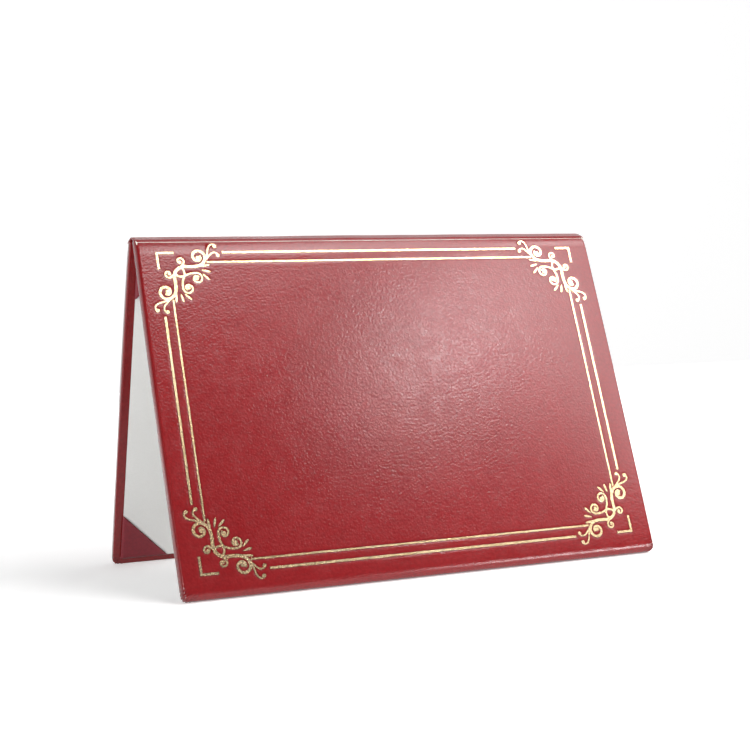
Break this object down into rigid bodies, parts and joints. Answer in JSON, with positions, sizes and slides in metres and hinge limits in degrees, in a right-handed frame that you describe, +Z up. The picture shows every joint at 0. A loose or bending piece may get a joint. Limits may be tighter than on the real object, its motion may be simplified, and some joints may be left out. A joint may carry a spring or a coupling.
{
  "type": "diploma cover",
  "caption": "Padded leatherette diploma cover standing open like a tent, with a foil double rule and scroll corners, a white liner and corner pockets.",
  "frame": {"origin": "centre of the part's footprint on the floor, as it stands", "axes": "+X along the hinge to the right, +Y from the front cover to the back cover, +Z up; the foiled front cover faces -Y"},
  "size_m": [0.31, 0.1662, 0.2081],
  "materials": {
    "leatherette": "glossy dark red leatherette with a fine pebble grain",
    "pocket_leatherette": "satin dark red leatherette, thinner than the cover's",
    "greyboard": "plain grey bookbinding board",
    "foam": "soft open foam sheet",
    "liner_card": "matt white card",
    "hinge_cloth": "dark red hinge cloth",
    "gold_foil": "bright pale gold hot-stamped foil"
  },
  "bodies": {
    "back_cover": {"back_board": "greyboard", "back_foam": "foam", "back_liner": "liner_card", "back_wrap": "leatherette", "hinge_lining": "hinge_cloth", "pocket_bottom_left": "pocket_leatherette", "pocket_bottom_right": "pocket_leatherette", "pocket_top_left": "pocket_leatherette", "pocket_top_right": "pocket_leatherette", "spine_strip": "leatherette"},
    "front_cover": {"foil_bracket_bottom_left": "gold_foil", "foil_bracket_bottom_right": "gold_foil", "foil_bracket_top_left": "gold_foil", "foil_bracket_top_right": "gold_foil", "foil_inner_rule_bottom": "gold_foil", "foil_inner_rule_left": "gold_foil", "foil_inner_rule_right": "gold_foil", "foil_inner_rule_top": "gold_foil", "foil_leaf_bottom_left_1": "gold_foil", "foil_leaf_bottom_left_2": "gold_foil", "foil_leaf_bottom_left_3": "gold_foil", "foil_leaf_bottom_left_4": "gold_foil", "foil_leaf_bottom_right_1": "gold_foil", "foil_leaf_bottom_right_2": "gold_foil", "foil_leaf_bottom_right_3": "gold_foil", "foil_leaf_bottom_right_4": "gold_foil", "foil_leaf_top_left_1": "gold_foil", "foil_leaf_top_left_2": "gold_foil", "foil_leaf_top_left_3": "gold_foil", "foil_leaf_top_left_4": "gold_foil", "foil_leaf_top_right_1": "gold_foil", "foil_leaf_top_right_2": "gold_foil", "foil_leaf_top_right_3": "gold_foil", "foil_leaf_top_right_4": "gold_foil", "foil_outer_rule_bottom": "gold_foil", "foil_outer_rule_left": "gold_foil", "foil_outer_rule_right": "gold_foil", "foil_outer_rule_top": "gold_foil", "foil_scroll_bottom_left": "gold_foil", "foil_scroll_bottom_right": "gold_foil", "foil_scroll_top_left": "gold_foil", "foil_scroll_top_right": "gold_foil", "front_board": "greyboard", "front_foam": "foam", "front_liner": "liner_card", "front_wrap": "leatherette"}
  },
  "joints": [
    {"name": "cover_hinge", "type": "hinge", "parent": "back_cover", "child": "front_cover", "pos_m": [0, 0, 0.2075], "axis": [-1, 0, 0], "range_deg": [-40.5, 139.5], "deforming": ["spine_strip", "hinge_lining"]}
  ]
}
